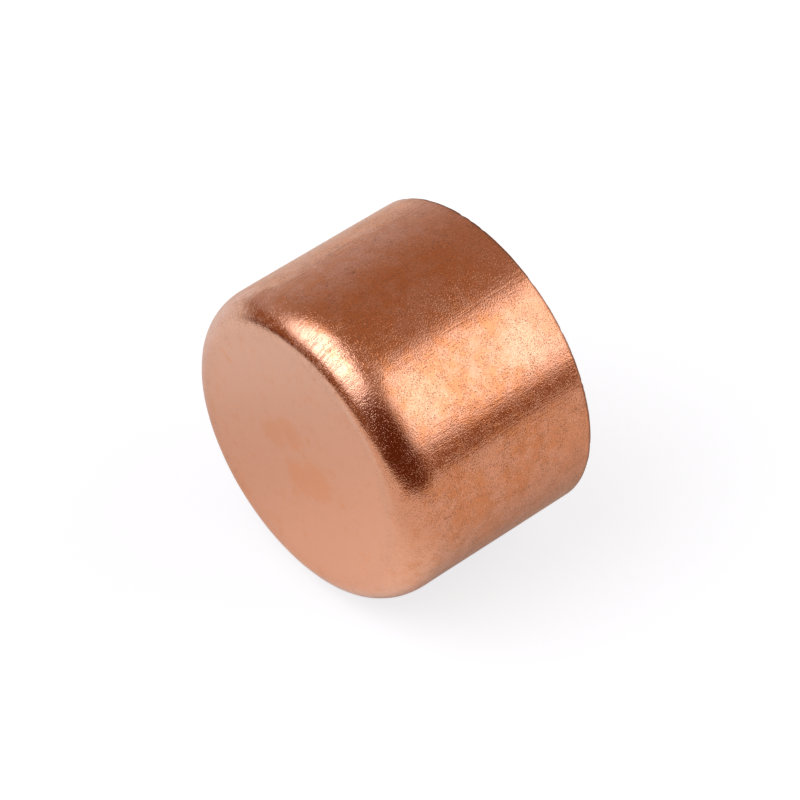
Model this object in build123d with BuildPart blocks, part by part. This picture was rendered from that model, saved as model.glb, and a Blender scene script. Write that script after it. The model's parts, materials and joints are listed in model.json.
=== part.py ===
"""End-feed capillary cap (stop end) for 28 mm copper tube.

The cap is one seamless cup, deep drawn from a copper disc: a straight socket wall, a
rounded corner and a flat closed end. It lies on its side. The origin is the centre of
the socket's mouth, +Y points out of the mouth along the tube, the closed end faces -Y,
and +Z is up. Dimensions are in millimetres.
"""

import os

from build123d import *

os.makedirs("parts", exist_ok=True)

# Driving dimensions
tube_diameter = 28.0
capillary_gap = 0.12  # difference in diameter between the socket and the tube
wall = 1.05  # thickness of the socket's wall
end_wall = 1.0  # thickness of the closed end
length = 20.7  # from the rim to the outside of the closed end

outer_corner_radial = 2.8  # reach of the outer corner across the closed end
outer_corner_axial = 3.7  # reach of the outer corner along the wall
inner_corner = 2.0  # radius inside, between the socket's wall and its floor

rim_round = 0.15  # radius on the outer edge of the trimmed rim
lead_in_radial = 0.15  # bevel on the rim's inner edge, where the tube goes in
lead_in_axial = 0.3

# Sizes that follow from them
socket_radius = (tube_diameter + capillary_gap) / 2
outer_radius = socket_radius + wall
end_y = -length  # outside of the closed end
floor_y = end_y + end_wall  # inside of the closed end
outer_corner_x = outer_radius - outer_corner_radial
outer_corner_y = end_y + outer_corner_axial
inner_corner_x = socket_radius - inner_corner
inner_corner_y = floor_y + inner_corner


# Half section of the wall, to the right of the axis: outside first, then the rim, then
# back down the inside. The outer corner is a quarter ellipse, longer along the wall than
# across the end; the inner one is a quarter circle, and the wall thins between them.
with BuildPart() as cap:
    with BuildSketch(Plane.XY) as section:
        with BuildLine() as outline:
            closed_end = Line((0, end_y), (outer_corner_x, end_y))
            outer_corner = EllipticalCenterArc(
                (outer_corner_x, outer_corner_y),
                x_radius=outer_corner_radial,
                y_radius=outer_corner_axial,
                start_angle=270,
                arc_size=90,
            )
            outside = Line(outer_corner @ 1, (outer_radius, -rim_round))
            rim_edge = JernArc(outside @ 1, outside % 1, radius=rim_round, arc_size=90)
            rim = Line(rim_edge @ 1, (socket_radius + lead_in_radial, 0))
            lead_in = Line(rim @ 1, (socket_radius, -lead_in_axial))
            socket = Line(lead_in @ 1, (socket_radius, inner_corner_y))
            corner = JernArc(socket @ 1, socket % 1, radius=inner_corner, arc_size=-90)
            socket_floor = Line(corner @ 1, (0, floor_y))
            axis_line = Line(socket_floor @ 1, closed_end @ 0)
        make_face()
    revolve(axis=Axis.Y)
cap.part.label = "cap"
export_step(cap.part, "parts/cap.step")
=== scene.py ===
"""Copper end-feed pipe cap: a drawn copper cup lying on its side on a pale card in a small light tent."""

import json
import math
from types import SimpleNamespace

import bmesh
import bpy
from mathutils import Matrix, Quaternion, Vector, noise


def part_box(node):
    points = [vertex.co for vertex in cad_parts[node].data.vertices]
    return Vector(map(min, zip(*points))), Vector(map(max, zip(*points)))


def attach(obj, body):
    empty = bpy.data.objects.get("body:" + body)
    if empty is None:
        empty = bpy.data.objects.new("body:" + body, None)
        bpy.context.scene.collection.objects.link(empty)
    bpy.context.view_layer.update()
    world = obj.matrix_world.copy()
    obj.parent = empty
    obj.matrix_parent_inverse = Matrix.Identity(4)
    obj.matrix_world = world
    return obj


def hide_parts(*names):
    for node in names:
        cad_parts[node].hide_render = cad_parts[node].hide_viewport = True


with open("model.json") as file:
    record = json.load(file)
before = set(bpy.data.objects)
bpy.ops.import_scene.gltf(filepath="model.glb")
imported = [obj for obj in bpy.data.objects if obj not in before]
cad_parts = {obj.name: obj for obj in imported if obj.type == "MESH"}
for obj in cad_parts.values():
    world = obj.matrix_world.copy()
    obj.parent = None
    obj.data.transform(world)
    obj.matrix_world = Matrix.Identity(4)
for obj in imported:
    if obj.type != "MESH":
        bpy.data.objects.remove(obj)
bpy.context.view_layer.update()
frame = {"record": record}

MM = 0.001

# Sizes from the frame: the cap's axis is Y, and its mouth is at the high end of Y
low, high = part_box("cap")
socket = next(m for m in frame["record"]["mounts"] if m["name"] == "socket")
OUTER_R = (high.x - low.x) / 2
MOUTH_Y = high.y
END_Y = low.y
SOCKET_R = socket["dims"]["r_mm"] * MM
CENTRE = (low + high) / 2

# Small features that the frame's box doesn't give
OUTER_CORNER_RADIAL = 2.8 * MM
OUTER_CORNER_AXIAL = 3.7 * MM
INNER_CORNER = 2.0 * MM
END_WALL = 1.0 * MM
RIM_ROUND = 0.15 * MM
LEAD_IN_RADIAL = 0.15 * MM
LEAD_IN_AXIAL = 0.3 * MM


# ---------------------------------------------------------------- shape

# Points round each ring, and points along each stretch of the outline
AROUND = 560
FACE_STEPS = 12
OUTER_CORNER_STEPS = 36
WALL_STEPS = 48
RIM_ROUND_STEPS = 5
RIM_STEPS = 4
LEAD_IN_STEPS = 3
BORE_STEPS = 20
INNER_CORNER_STEPS = 12
FLOOR_STEPS = 8

# Values of the mesh's attribute skin_zone
OUTSIDE = 0.0
RIM = 1.0
INSIDE = 2.0

# Unevenness of the drawn skin: heights in millimetres, noise scales per millimetre, how far it
# reaches from the mouth, and the noise values over which a nick deepens
SWELL_HEIGHT = 0.010
SWELL_SCALE = 0.09
RIPPLE_HEIGHT = 0.016
RIPPLE_SCALE = 0.36
RIPPLE_SHIFT = Vector((7, 3, 1))
BURR_HEIGHT = 0.020
BURR_SCALE = 0.8
BURR_SHIFT = Vector((2, 9, 4))
BURR_REACH = 0.5 * MM
NICK_HEIGHT = 0.050
NICK_SCALE = 1.7
NICK_REACH = 0.3 * MM
NICK_NOISE = (0.25, 0.6)

# Where the ripples start on the face, as radii, and where they end on the wall, as Y
RIPPLE_RADII = (10.5 * MM, 12.5 * MM)
RIPPLE_ENDS = (END_Y + 3.5 * MM, END_Y + 6.0 * MM)


def spread(start, end, count):
    """Points from start up to, but not including, end."""
    return [
        (start[0] + (end[0] - start[0]) * i / count, start[1] + (end[1] - start[1]) * i / count)
        for i in range(count)
    ]


def arc(centre, radial, axial, start, end, count):
    """Points on an ellipse's arc, in (radius, y), with angles in degrees from the radial direction."""
    points = []
    for i in range(count):
        a = math.radians(start + (end - start) * i / count)
        points.append((centre[0] + radial * math.cos(a), centre[1] + axial * math.sin(a)))
    return points


def outside_outline():
    """The outer skin as (radius, y), from the middle of the closed end to the rim."""
    face_edge = OUTER_R - OUTER_CORNER_RADIAL
    corner_y = END_Y + OUTER_CORNER_AXIAL
    centre = (face_edge, corner_y)
    points = spread((0.0, END_Y), (face_edge, END_Y), FACE_STEPS)
    points += arc(centre, OUTER_CORNER_RADIAL, OUTER_CORNER_AXIAL, -90, 0, OUTER_CORNER_STEPS)
    points += spread((OUTER_R, corner_y), (OUTER_R, MOUTH_Y - RIM_ROUND), WALL_STEPS)
    return points


def rim_outline():
    """The trimmed rim: its rounded outer edge, its flat and its lead-in."""
    rim_in = SOCKET_R + LEAD_IN_RADIAL
    centre = (OUTER_R - RIM_ROUND, MOUTH_Y - RIM_ROUND)
    points = arc(centre, RIM_ROUND, RIM_ROUND, 0, 90, RIM_ROUND_STEPS)
    points += spread((centre[0], MOUTH_Y), (rim_in, MOUTH_Y), RIM_STEPS)
    points += spread((rim_in, MOUTH_Y), (SOCKET_R, MOUTH_Y - LEAD_IN_AXIAL), LEAD_IN_STEPS)
    return points


def inside_outline():
    """The bore from the lead-in down to the middle of the floor."""
    floor_y = END_Y + END_WALL
    floor_edge = SOCKET_R - INNER_CORNER
    corner_y = floor_y + INNER_CORNER
    points = spread((SOCKET_R, MOUTH_Y - LEAD_IN_AXIAL), (SOCKET_R, corner_y), BORE_STEPS)
    points += arc((floor_edge, corner_y), INNER_CORNER, INNER_CORNER, 0, -90, INNER_CORNER_STEPS)
    points += spread((floor_edge, floor_y), (0.0, floor_y), FLOOR_STEPS)
    points.append((0.0, floor_y))
    return points


def smooth(value, low_in, high_in):
    """0 below low_in, 1 above high_in, and a smooth step between."""
    t = min(max((value - low_in) / (high_in - low_in), 0.0), 1.0)
    return t * t * (3 - 2 * t)


def uneven(point):
    """How far the drawn skin stands off the true shape, in metres."""
    spot = point / MM
    radius = math.hypot(point.x, point.z)
    on_corner = smooth(radius, *RIPPLE_RADII) * (1 - smooth(point.y, *RIPPLE_ENDS))
    burred = smooth(point.y, MOUTH_Y - BURR_REACH, MOUTH_Y)
    nicked = smooth(point.y, MOUTH_Y - NICK_REACH, MOUTH_Y)
    swell = SWELL_HEIGHT * noise.noise(spot * SWELL_SCALE)
    ripple = RIPPLE_HEIGHT * on_corner * noise.noise(spot * RIPPLE_SCALE + RIPPLE_SHIFT)
    burr = BURR_HEIGHT * burred * noise.noise(spot * BURR_SCALE + BURR_SHIFT)
    nick = NICK_HEIGHT * nicked * smooth(noise.noise(spot * NICK_SCALE), *NICK_NOISE)
    return (swell + ripple + burr - nick) * MM


def add_ring(build, zone_layer, radius, y, zone):
    """Points round the cap's axis, or a single one where the radius is 0."""
    ring = []
    for i in range(AROUND if radius > 0 else 1):
        a = 2 * math.pi * i / AROUND
        out = Vector((math.cos(a), 0, math.sin(a)))
        vert = build.verts.new(out * radius + Vector((0, y, 0)))
        vert[zone_layer] = zone
        ring.append(vert)
    return ring


def make_cap():
    """One closed skin: the outline turned about the cap's axis, then made uneven."""
    stretches = ((OUTSIDE, outside_outline()), (RIM, rim_outline()), (INSIDE, inside_outline()))
    mesh = bpy.data.meshes.new("cap_shell")
    build = bmesh.new()
    zone_layer = build.verts.layers.float.new("skin_zone")
    rings = [add_ring(build, zone_layer, *point, zone) for zone, points in stretches for point in points]
    for one, two in zip(rings, rings[1:]):
        for i in range(AROUND):
            j = (i + 1) % AROUND
            if len(one) == 1:
                build.faces.new((one[0], two[j], two[i]))
            elif len(two) == 1:
                build.faces.new((one[i], one[j], two[0]))
            else:
                build.faces.new((one[i], one[j], two[j], two[i]))
    bmesh.ops.recalc_face_normals(build, faces=build.faces)
    build.normal_update()
    for vert in build.verts:
        vert.co += vert.normal * uneven(vert.co)
    build.to_mesh(mesh)
    build.free()
    mesh.shade_smooth()
    cap = bpy.data.objects.new("cap_shell", mesh)
    bpy.context.scene.collection.objects.link(cap)
    return cap


# ---------------------------------------------------------------- shader nodes

NOISE_AVERAGE = 0.5


class Nodes:
    """Short ways to add and join shader nodes."""

    def __init__(self, tree):
        self.tree = tree

    def add(self, kind, inputs=(), **settings):
        node = self.tree.nodes.new(kind)
        for name, value in settings.items():
            setattr(node, name, value)
        for name, value in dict(inputs).items():
            self.feed(node.inputs[name], value)
        return node

    def feed(self, socket_in, value):
        """Join an output to an input, or set the input's own value."""
        if isinstance(value, bpy.types.NodeSocket):
            self.tree.links.new(value, socket_in)
        else:
            socket_in.default_value = value

    def math(self, operation, a, b=0.0):
        return self.add("ShaderNodeMath", {0: a, 1: b}, operation=operation).outputs[0]

    def plus(self, a, b):
        return self.math("ADD", a, b)

    def minus(self, a, b):
        return self.math("SUBTRACT", a, b)

    def times(self, a, b):
        return self.math("MULTIPLY", a, b)

    def most(self, a, b):
        return self.math("MAXIMUM", a, b)

    def vector(self, operation, a, b=(0, 0, 0)):
        """A vector worked out from one or two others."""
        return self.add("ShaderNodeVectorMath", {0: a, 1: b}, operation=operation).outputs["Vector"]

    def measure(self, operation, a, b=(0, 0, 0)):
        """A number worked out from one or two vectors, such as the distance between them."""
        return self.add("ShaderNodeVectorMath", {0: a, 1: b}, operation=operation).outputs["Value"]

    def split(self, vector):
        return self.add("ShaderNodeSeparateXYZ", {0: vector}).outputs

    def combine(self, x, y, z):
        return self.add("ShaderNodeCombineXYZ", {"X": x, "Y": y, "Z": z}).outputs[0]

    def noise(self, vector, scale, detail=2.0, roughness=0.5, distortion=0.0):
        inputs = {"Vector": vector, "Scale": scale, "Detail": detail}
        inputs.update({"Roughness": roughness, "Distortion": distortion})
        return self.add("ShaderNodeTexNoise", inputs).outputs["Fac"]

    def ramp(self, value, low_in, high_in, low_out=0.0, high_out=1.0):
        """low_out below low_in, high_out above high_in, and a smooth step between."""
        inputs = {"Value": value, "From Min": low_in, "From Max": high_in}
        inputs.update({"To Min": low_out, "To Max": high_out})
        return self.add("ShaderNodeMapRange", inputs, interpolation_type="SMOOTHSTEP").outputs["Result"]

    def fade(self, value, low_in, high_in):
        """1 below low_in, 0 above high_in, and a smooth step between."""
        return self.ramp(value, low_in, high_in, 1.0, 0.0)

    def ridge(self, value, width):
        """Thin lines: 1 where a noise passes its average, 0 where it is further than width from it."""
        return self.fade(self.math("ABSOLUTE", self.minus(value, NOISE_AVERAGE)), 0.0, width)

    def mix(self, factor, one, two):
        node = self.add("ShaderNodeMix", data_type="RGBA", clamp_factor=True)
        self.feed(node.inputs[0], factor)
        self.feed(node.inputs[6], one)
        self.feed(node.inputs[7], two)
        return node.outputs[2]


# ---------------------------------------------------------------- material

# The copper's colours, as linear red, green, blue and alpha
FACE_PINK = (0.87, 0.465, 0.31, 1)
WALL_PALE = (0.92, 0.475, 0.315, 1)
WALL_ORANGE = (0.87, 0.37, 0.175, 1)
# A painted highlight colour, laid on the wall where the side light's bright band falls
PAINTED_HIGHLIGHT_COLOUR = (0.95, 0.63, 0.43, 1)
BORE_DULL = (0.88, 0.56, 0.44, 1)
CUT_EDGE = (0.62, 0.30, 0.18, 1)
OXIDE = (0.40, 0.16, 0.08, 1)
# Painted shade with dark oxide, for the rim's outer edge
EDGE_SHADE_AND_OXIDE = (0.12, 0.06, 0.04, 1)
SPECK = (0.42, 0.20, 0.12, 1)

# Where the closed end's finish ends and where the corner's is complete, as radii in millimetres
FACE_RADIUS = 10.7
CORNER_RADIUS = 12.8
GRAIN_RADIUS = CORNER_RADIUS + 0.5

# The radius, in millimetres, inside which angles round the axis are no longer spread out
AXIS_RADIUS = 0.5

# Where one finish gives way to the next: millimetres from the closed end, the mouth or the outside
TINT_FROM_END = (-0.5, 5.0)
WALL_FROM_END = (3.0, 5.5)
PALE_FROM_MOUTH = (-6.0, -1.0)
CHATTER_FROM_MOUTH = (-0.8, 0.0)
# The painted shade and dark oxide on the rim's outer edge: how far it reaches from the mouth and from the
# outside
EDGE_SHADE_FROM_MOUTH = (-0.12, 0.06)
EDGE_SHADE_FROM_OUTSIDE = (-0.20, -0.08)

# How far the noise moves those edges to and fro, in millimetres
TINT_RAGGED = 6.0
GRAIN_RAGGED = 5.0
BLOT_RAGGED = 3.5
EDGE_SHADE_RAGGED = 0.3

# Faint stains on the closed end: x, z and reach in millimetres
STAINS = ((-3.0, 1.0, 1.7), (-1.0, 2.4, 1.7), (0.3, -2.0, 1.9), (2.5, -0.8, 2.2))

# Painted highlight: paler spots on the wall where the side light's bright band falls: x, y, z and reach in
# millimetres
PAINTED_HIGHLIGHT_SPOTS = ((10.1, -15.0, 11.2, 2.4), (10.7, -4.2, 10.7, 2.4))

# Where a stain or a spot fades out, in millimetres past its reach
BLOT_EDGE = (0.8, 2.2)

# Noise values over which each mark comes in
PATCH_NOISE = (0.40, 0.60)
STAIN_NOISE = (0.50, 0.75)
TURNED_NOISE = (0.35, 0.65)
GRAIN_NOISE = (0.35, 0.65)
PIT_NOISE = (0.56, 0.76)
HAZE_NOISE = (0.3, 0.7)
STREAK_NOISE = (0.35, 0.65)
SCORED_NOISE = (0.45, 0.55)

# The shares of the wide and the small noise in the patches, and of the clusters in the pits
WIDE_SHARE = 0.45
SMALL_SHARE = 0.55
CLUSTER_SHARE = 0.5

# The share of each colour that covers what lies under it
PALE_COVER = 0.6
PAINTED_HIGHLIGHT_COVER = 0.5
STAIN_COVER = 0.5
BORE_COVER = 0.85
CUT_COVER = 0.85
EDGE_SHADE_COVER = 0.8
GRAIN_COVER = 0.4
PIT_COVER = 0.6

# The share of the specks that shows on the face and on the corner, what the wall adds, and what the
# bore keeps
SPECKS_ON_FACE = 0.10
SPECKS_ON_CORNER = 0.35
SPECKS_ADDED_ON_WALL = 0.65
SPECKS_KEPT_INSIDE = 0.35

# Roughness: its range outside, and what the rim and the bore add
OUTSIDE_ROUGHNESS = (0.10, 0.14)
RIM_ROUGHER = 0.2
BORE_ROUGHER = 0.22

# Depths of the relief in millimetres
GRAIN_DEPTH = 0.012
PIT_DEPTH = 0.008
LINE_DEPTH = 0.007
STREAK_DEPTH = 0.018
SCORE_DEPTH = 0.004
BORE_LINE_DEPTH = 0.025
CRUMPLE_DEPTH = 0.009
WRINKLE_DEPTH = 0.010
CHATTER_DEPTH = 0.015

# The shares of the grain that the face keeps and of the streaks where they are faintest
FACE_GRAIN = 0.04
FAINT_STREAKS = 0.2

# Noise scales, per millimetre
WIDE_SCALE = 0.22
SMALL_SCALE = 0.9
TURNED_SCALE = 9.0
GRAIN_SCALE = 7.5
PIT_SCALE = 9.5
CLUSTER_SCALE = 0.8
HAZE_SCALE = 0.5
LINE_SCALE = 3.2
STREAK_SCALE = 1.5
SCORE_SCALE = 1.3
SCORED_SCALE = 0.35
CRUMPLE_SCALE = 2.0
WRINKLE_SCALE = 1.25
CHATTER_SCALE = 3.5

# How much of the way along the skin counts in the noise of lines and of folds: the less, the longer
LINE_SQUEEZE = 0.05
FOLD_SQUEEZE = 0.60

# How wide the thin lines of scores and wrinkles are, in the noise's own values
SCORE_WIDTH = 0.05
WRINKLE_WIDTH = 0.02

# The middle of the creases that cross the corner, and where they start to fade and end, in millimetres
CREASES = (3.0, -19.0, 13.2)
CREASES_FADE = (3.0, 5.0)


def span(start, steps):
    """Both ends of a stretch, in millimetres, from where it starts, in metres."""
    return [start / MM + step for step in steps]


def find_places(n):
    """Where each point of the skin is, in millimetres, how much it belongs to each part of the cap, and
    the noises that more than one property uses."""
    at = SimpleNamespace()
    place = n.add("ShaderNodeTexCoord").outputs["Object"]
    at.spot = n.add("ShaderNodeVectorMath", {0: place, "Scale": 1 / MM}, operation="SCALE").outputs[0]
    x, at.y, z = n.split(at.spot)
    at.radius = n.math("SQRT", n.plus(n.times(x, x), n.times(z, z)))

    # The angle round the axis, as a point on a circle of the cap's own radius, with a third measure
    # that changes both along the wall and across the closed end
    stretch = n.math("DIVIDE", OUTER_R / MM, n.most(at.radius, AXIS_RADIUS))
    round_x = n.times(x, stretch)
    round_z = n.times(z, stretch)
    along = n.minus(at.y, at.radius)
    at.drawn = n.combine(round_x, n.times(along, LINE_SQUEEZE), round_z)
    at.folded = n.combine(round_x, n.times(along, FOLD_SQUEEZE), round_z)

    at.wide = n.noise(at.spot, WIDE_SCALE)
    at.small = n.noise(at.spot, SMALL_SCALE, detail=4.0, roughness=0.65)
    at.grain = n.noise(at.spot, GRAIN_SCALE, detail=1.0)
    clusters = n.times(n.minus(n.noise(at.spot, CLUSTER_SCALE), NOISE_AVERAGE), CLUSTER_SHARE)
    at.pits = n.ramp(n.plus(n.noise(at.spot, PIT_SCALE, detail=0.0), clusters), *PIT_NOISE)

    zone = n.add("ShaderNodeAttribute", attribute_name="skin_zone").outputs["Fac"]
    at.inside = n.ramp(zone, RIM + 0.1, INSIDE - 0.2)
    on_rim = n.ramp(zone, OUTSIDE + 0.2, RIM - 0.1)
    at.rim = n.times(on_rim, n.fade(zone, RIM + 0.1, INSIDE - 0.2))
    at.off_face = n.most(n.ramp(at.radius, FACE_RADIUS, CORNER_RADIUS), at.inside)
    ragged = n.plus(at.y, n.times(n.minus(at.small, NOISE_AVERAGE), TINT_RAGGED))
    at.wall_tint = n.most(n.ramp(ragged, *span(END_Y, TINT_FROM_END)), at.inside)
    at.on_wall = n.ramp(at.y, *span(END_Y, WALL_FROM_END))
    at.corner = n.times(at.off_face, n.minus(1.0, at.on_wall))
    return at


def blot(n, at, middle, reach):
    """1 round the middle and 0 past its reach, with a ragged edge between."""
    gap = n.plus(n.measure("DISTANCE", at.spot, middle), n.times(at.small, BLOT_RAGGED))
    return n.fade(gap, reach + BLOT_EDGE[0], reach + BLOT_EDGE[1])


def colour(n, at):
    """Orange patches on a paler ground with painted highlight spots in the bright band, a pinker face with
    stains, a dark cut rim with painted shade and oxide along its outer edge, and a dull bore.
    """
    patches = n.plus(n.times(at.wide, WIDE_SHARE), n.times(at.small, SMALL_SHARE))
    wall = n.mix(n.ramp(patches, *PATCH_NOISE), WALL_PALE, WALL_ORANGE)
    wall = n.mix(n.ramp(at.y, *span(MOUTH_Y, PALE_FROM_MOUTH), 0.0, PALE_COVER), wall, WALL_PALE)
    # Painted highlight: paler spots on the wall where the side light's bright band falls
    for *middle, reach in PAINTED_HIGHLIGHT_SPOTS:
        wall = n.mix(n.times(blot(n, at, middle, reach), PAINTED_HIGHLIGHT_COVER), wall, PAINTED_HIGHLIGHT_COLOUR)

    stain = n.ramp(patches, *STAIN_NOISE, 0.0, STAIN_COVER)
    for middle_x, middle_z, reach in STAINS:
        mark = blot(n, at, (middle_x, END_Y / MM, middle_z), reach)
        stain = n.most(stain, n.times(mark, STAIN_COVER))
    face = n.mix(stain, FACE_PINK, WALL_ORANGE)
    metal = n.mix(at.wall_tint, face, wall)
    metal = n.mix(n.times(at.inside, BORE_COVER), metal, BORE_DULL)

    # Rings that the cut left on the rim, and painted shade with dark oxide along its outer edge
    turned = n.noise(n.combine(at.radius, at.y, 0.0), TURNED_SCALE, roughness=0.6)
    cut = n.mix(n.ramp(turned, *TURNED_NOISE), OXIDE, CUT_EDGE)
    metal = n.mix(n.times(at.rim, CUT_COVER), metal, cut)
    # Painted shade with dark oxide: a thin dark line along the rim's outer edge
    outer_edge = n.ramp(at.radius, *span(OUTER_R, EDGE_SHADE_FROM_OUTSIDE), 0.0, EDGE_SHADE_COVER)
    frayed = n.plus(at.y, n.times(at.small, EDGE_SHADE_RAGGED))
    edge_shade_and_oxide = n.times(n.ramp(frayed, *span(MOUTH_Y, EDGE_SHADE_FROM_MOUTH)), outer_edge)
    metal = n.mix(edge_shade_and_oxide, metal, EDGE_SHADE_AND_OXIDE)

    speckle = n.plus(n.ramp(at.grain, *GRAIN_NOISE, GRAIN_COVER, 0.0), n.times(at.pits, PIT_COVER))
    on_corner = n.ramp(at.off_face, 0.0, 1.0, SPECKS_ON_FACE, SPECKS_ON_CORNER)
    shown = n.plus(on_corner, n.ramp(at.wall_tint, 0.0, 1.0, 0.0, SPECKS_ADDED_ON_WALL))
    shown = n.times(shown, n.ramp(at.inside, 0.0, 1.0, 1.0, SPECKS_KEPT_INSIDE))
    return n.mix(n.times(speckle, shown), metal, SPECK)


def roughness(n, at):
    """Bright outside, duller on the rim and in the bore."""
    haze = n.noise(at.spot, HAZE_SCALE, detail=3.0, roughness=0.6)
    outside = n.ramp(haze, *HAZE_NOISE, *OUTSIDE_ROUGHNESS)
    return n.plus(n.plus(outside, n.times(at.rim, RIM_ROUGHER)), n.times(at.inside, BORE_ROUGHER))


def lines_along(n, at):
    """Drawn lines and streaks along the wall and the bore, and scores on the wall."""
    line_depth = n.ramp(at.inside, 0.0, 1.0, LINE_DEPTH, BORE_LINE_DEPTH)
    lines = n.times(n.noise(at.drawn, LINE_SCALE), line_depth)
    streak_depth = n.ramp(at.wide, *STREAK_NOISE, FAINT_STREAKS * STREAK_DEPTH, STREAK_DEPTH)
    streaks = n.times(n.noise(at.drawn, STREAK_SCALE, detail=3.0, roughness=0.6), streak_depth)
    scores = n.ridge(n.noise(at.drawn, SCORE_SCALE, detail=1.0), SCORE_WIDTH)
    scored = n.times(n.ramp(n.noise(at.spot, SCORED_SCALE, detail=1.0), *SCORED_NOISE), at.on_wall)
    return n.plus(n.plus(lines, streaks), n.times(n.times(scores, scored), -SCORE_DEPTH))


def folds_across(n, at):
    """Crumpled metal all round the corner, and wrinkles near the middle of the creases."""
    crumple = n.times(n.noise(at.spot, CRUMPLE_SCALE, detail=3.0, roughness=0.65), at.corner)
    folds = n.noise(at.folded, WRINKLE_SCALE, roughness=0.6, distortion=1.2)
    creased = n.times(n.fade(n.measure("DISTANCE", at.spot, CREASES), *CREASES_FADE), at.corner)
    wrinkles = n.times(n.ridge(folds, WRINKLE_WIDTH), creased)
    return n.plus(n.times(crumple, CRUMPLE_DEPTH), n.times(wrinkles, -WRINKLE_DEPTH))


def relief(n, at):
    """Height in millimetres: grain and pits, faint on the face; lines; folds; chatter at the cut edge."""
    grain = n.minus(n.times(at.grain, GRAIN_DEPTH), n.times(at.pits, PIT_DEPTH))
    frayed = n.plus(at.radius, n.times(n.minus(at.small, NOISE_AVERAGE), GRAIN_RAGGED))
    grainy = n.ramp(frayed, FACE_RADIUS, GRAIN_RADIUS, FACE_GRAIN, 1.0)
    mouth = n.ramp(at.y, *span(MOUTH_Y, CHATTER_FROM_MOUTH))
    chatter = n.times(n.noise(at.spot, CHATTER_SCALE, roughness=0.6), mouth)
    height = n.times(grain, n.most(grainy, at.inside))
    height = n.plus(height, n.times(lines_along(n, at), at.off_face))
    height = n.plus(height, folds_across(n, at))
    return n.plus(height, n.times(chatter, CHATTER_DEPTH))


def copper():
    """Bright drawn copper."""
    mat = bpy.data.materials.new("copper")
    mat.use_nodes = True
    shader = mat.node_tree.nodes["Principled BSDF"]
    n = Nodes(mat.node_tree)
    at = find_places(n)
    bump = n.add("ShaderNodeBump", {"Height": relief(n, at), "Strength": 1.0, "Distance": MM})
    n.feed(shader.inputs["Base Color"], colour(n, at))
    n.feed(shader.inputs["Roughness"], roughness(n, at))
    n.feed(shader.inputs["Metallic"], 1.0)
    n.feed(shader.inputs["Normal"], bump.outputs[0])
    return mat


# ---------------------------------------------------------------- studio

LIGHT_DISTANCE = 1.6
FLOOR_HALF = 0.6

# The card and the table that the cap mirrors, a painted pool of light on the card next to the closed end,
# and the white that the camera sees
CARD_WARM = (0.72, 0.66, 0.58, 1)
CARD_COOL = (0.81, 0.94, 1.0, 1)
# A painted pool of light: the card is brighter next to the closed end
PAINTED_LIGHT_NEAR_CAP = (0.85, 0.89, 0.85, 1)
TABLE = (0.14, 0.055, 0.028, 1)
SEEN_CARD = (0.35, 0.35, 0.35, 1)
SEEN_GLOW = (0.96, 1.0, 1.03, 1)

# How strongly the floor glows: to the camera, under the cap and far from it, and to all else
SEEN_STRENGTH = (0.74, 0.95)
MIRRORED_STRENGTH = 0.05

# Directions on the floor as the camera sees it, as azimuth and elevation in degrees
LEFT_SIDE = (-35, 0)
NEAR_SIDE = (55, 0)
FAR_SIDE = (-140, 0)

# Stretches over which the floor changes, in metres, and how far the far side's card reaches round,
# as a cosine
SEEN_REACH = (0.06, 0.40)
CARD_EDGE = (0.135, 0.15)
COOL_STARTS = (0.02, 0.05)
COOL_ENDS = (0.018, 0.045)
NEAR_MIDDLE = (0.005, END_Y, low.z)
NEAR_REACH = (0.005, 0.032)
FAR_CARD = (0.1, 0.4)

# The tent that the cap mirrors: where its bright part and its dark gap are, how far each reaches, as
# cosines, and the heights between which its bright part changes to the top's colour
BRIGHT_MIDDLE = (-150, 55)
BRIGHT_REACH = (0.2, 0.5)
GAP_MIDDLE = (58, 6)
GAP_REACH = (0.45, 0.93)
TOP_HEIGHTS = (0.05, 0.75)
TENT_FRONT = (0.285, 0.13, 0.066, 1)
TENT_BACK = (0.56, 0.49, 0.50, 1)
TENT_TOP = (0.38, 0.235, 0.165, 1)
TENT_GAP = (0.11, 0.028, 0.010, 1)
WHITE = (1.0, 1.0, 1.0, 1)

# The camera: its angles in degrees, its distance and target in the cap's outer radii, and its lens and
# sensor in millimetres
CAMERA_AZIMUTH = 48.83
CAMERA_ELEVATION = 44.46
CAMERA_DISTANCE = 25
TARGET_RIGHT = 0.0724
TARGET_UP = 0.0255
LENS = 193.6
SENSOR = 36


def direction(azimuth, elevation):
    """Azimuth 0 is -Y, the way the closed end faces, and 90 is +X."""
    a, e = math.radians(azimuth), math.radians(elevation)
    return Vector((math.sin(a) * math.cos(e), -math.cos(a) * math.cos(e), math.sin(e)))


def add_soft_box(name, azimuth, elevation, size, core, radiance, tint, roll=0.0):
    """A soft box that faces the cap. size is its half width and half height as slopes seen from the
    cap. The share core of each has the full radiance, and from there it fades to nothing at the edge."""
    width, height = (2 * LIGHT_DISTANCE * half for half in size)
    data = bpy.data.lights.new(name, "AREA")
    data.shape = "RECTANGLE"
    data.size = width
    data.size_y = height
    data.color = tint
    data.energy = radiance * math.pi * width * height
    data.use_nodes = True
    n = Nodes(data.node_tree)
    place = n.add("ShaderNodeNewGeometry").outputs["Parametric"]
    off_middle = n.vector("ABSOLUTE", n.vector("SUBTRACT", place, (0.5, 0.5, 0)))
    across, up, _ = n.split(off_middle)
    glow = n.times(n.fade(across, core[0] / 2, 0.5), n.fade(up, core[1] / 2, 0.5))
    n.feed(data.node_tree.nodes["Emission"].inputs["Strength"], glow)
    light = bpy.data.objects.new(name, data)
    light.location = CENTRE + direction(azimuth, elevation) * LIGHT_DISTANCE
    facing = direction(azimuth, elevation).to_track_quat("Z", "Y")
    light.rotation_euler = (facing @ Quaternion((0, 0, 1), math.radians(roll))).to_euler()
    light.visible_camera = False
    bpy.context.scene.collection.objects.link(light)


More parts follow.
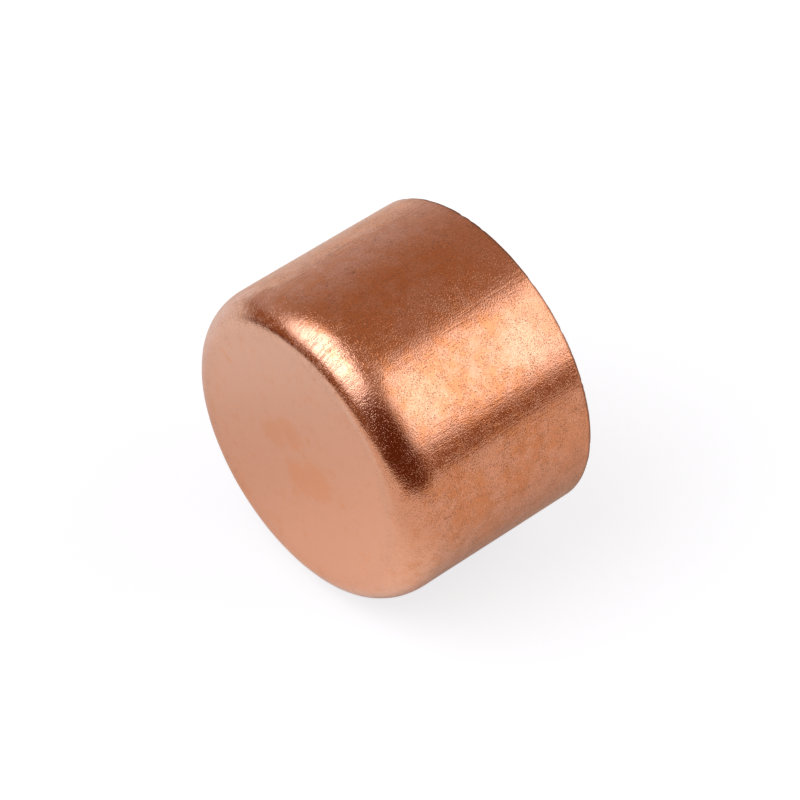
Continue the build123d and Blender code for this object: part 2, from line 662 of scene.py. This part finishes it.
def mirrored_card(n, place):
    """What the cap mirrors below it: a pale card, cooler on the left, with a painted pool of light next to
    the closed end, that ends at a dark table on its left and near sides."""
    left = n.measure("DOT_PRODUCT", place, direction(*LEFT_SIDE))
    near = n.measure("DOT_PRODUCT", place, direction(*NEAR_SIDE))
    far = n.measure("DOT_PRODUCT", n.vector("NORMALIZE", place), direction(*FAR_SIDE))
    close = n.measure("DISTANCE", place, NEAR_MIDDLE)
    cool = n.times(n.ramp(left, *COOL_STARTS), n.fade(near, *COOL_ENDS))
    away = n.times(n.ramp(n.most(left, near), *CARD_EDGE), n.fade(far, *FAR_CARD))
    card = n.mix(cool, CARD_WARM, CARD_COOL)
    # Painted pool of light on the card next to the closed end
    card = n.mix(n.fade(close, *NEAR_REACH), card, PAINTED_LIGHT_NEAR_CAP)
    return n.mix(away, card, TABLE)


def floor_material():
    """Plain white to the camera, and the card and table to the cap's reflections."""
    mat = bpy.data.materials.new("floor")
    mat.use_nodes = True
    shader = mat.node_tree.nodes["Principled BSDF"]
    n = Nodes(mat.node_tree)
    place = n.add("ShaderNodeTexCoord").outputs["Object"]
    seen = n.add("ShaderNodeLightPath").outputs["Is Camera Ray"]
    card = mirrored_card(n, place)
    white = n.ramp(n.measure("LENGTH", place), *SEEN_REACH, *SEEN_STRENGTH)
    n.feed(shader.inputs["Base Color"], n.mix(seen, card, SEEN_CARD))
    n.feed(shader.inputs["Emission Color"], n.mix(seen, card, SEEN_GLOW))
    n.feed(shader.inputs["Emission Strength"], n.most(n.times(seen, white), MIRRORED_STRENGTH))
    n.feed(shader.inputs["Roughness"], 0.9)
    n.feed(shader.inputs["Specular IOR Level"], 0.0)
    return mat


def add_floor():
    """The plain floor that the cap lies on."""
    corners = [(x * FLOOR_HALF, y * FLOOR_HALF, low.z) for x, y in ((-1, -1), (1, -1), (1, 1), (-1, 1))]
    mesh = bpy.data.meshes.new("floor")
    mesh.from_pydata(corners, [], [(0, 1, 2, 3)])
    mesh.materials.append(floor_material())
    floor = bpy.data.objects.new("floor", mesh)
    bpy.context.scene.collection.objects.link(floor)


def add_world():
    """The tent: dim and warm on the camera's side, with a dark gap low down, and brighter overhead and on
    the far side. Past the floor, the camera sees plain white."""
    world = bpy.data.worlds.new("studio")
    world.use_nodes = True
    n = Nodes(world.node_tree)
    towards = n.add("ShaderNodeTexCoord").outputs["Generated"]
    bright = n.measure("DOT_PRODUCT", towards, direction(*BRIGHT_MIDDLE))
    gap = n.measure("DOT_PRODUCT", towards, direction(*GAP_MIDDLE))
    height = n.split(towards)["Z"]
    upper = n.mix(n.ramp(height, *TOP_HEIGHTS), TENT_BACK, TENT_TOP)
    tent = n.mix(n.ramp(bright, *BRIGHT_REACH), TENT_FRONT, upper)
    tent = n.mix(n.ramp(gap, *GAP_REACH), tent, TENT_GAP)
    seen = n.add("ShaderNodeLightPath").outputs["Is Camera Ray"]
    n.feed(world.node_tree.nodes["Background"].inputs["Color"], n.mix(seen, tent, WHITE))
    bpy.context.scene.world = world


def add_camera():
    """The view is level from side to side, from above and to the right of the closed end."""
    back = direction(CAMERA_AZIMUTH, CAMERA_ELEVATION)
    right = Vector((-back.y, back.x, 0)).normalized()
    up = back.cross(right)
    target = CENTRE + right * (TARGET_RIGHT * OUTER_R) + up * (TARGET_UP * OUTER_R)
    data = bpy.data.cameras.new("camera")
    data.sensor_width = SENSOR
    data.lens = LENS
    data.clip_start = 0.01
    data.clip_end = 10
    camera = bpy.data.objects.new("camera", data)
    camera.location = target + back * (CAMERA_DISTANCE * OUTER_R)
    camera.rotation_mode = "QUATERNION"
    camera.rotation_quaternion = (-back).to_track_quat("-Z", "Y")
    bpy.context.scene.collection.objects.link(camera)
    bpy.context.scene.camera = camera


cap = make_cap()
cap.data.materials.append(copper())
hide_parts("cap")
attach(cap, "root")

add_floor()
add_soft_box(
    "key_light", azimuth=-23.5, elevation=52, size=(0.80, 0.82), core=(0.15, 0.2), radiance=2.8,
    tint=(0.96, 1.0, 1.10),
)
add_soft_box(
    "side_light", azimuth=142.4, elevation=31.8, roll=-25, size=(1.3, 0.61), core=(0.0, 0.5), radiance=1.38,
    tint=(1.0, 1.0, 1.0),
)
add_world()
add_camera()

view = bpy.context.scene.view_settings
view.view_transform = "Standard"
view.look = "None"
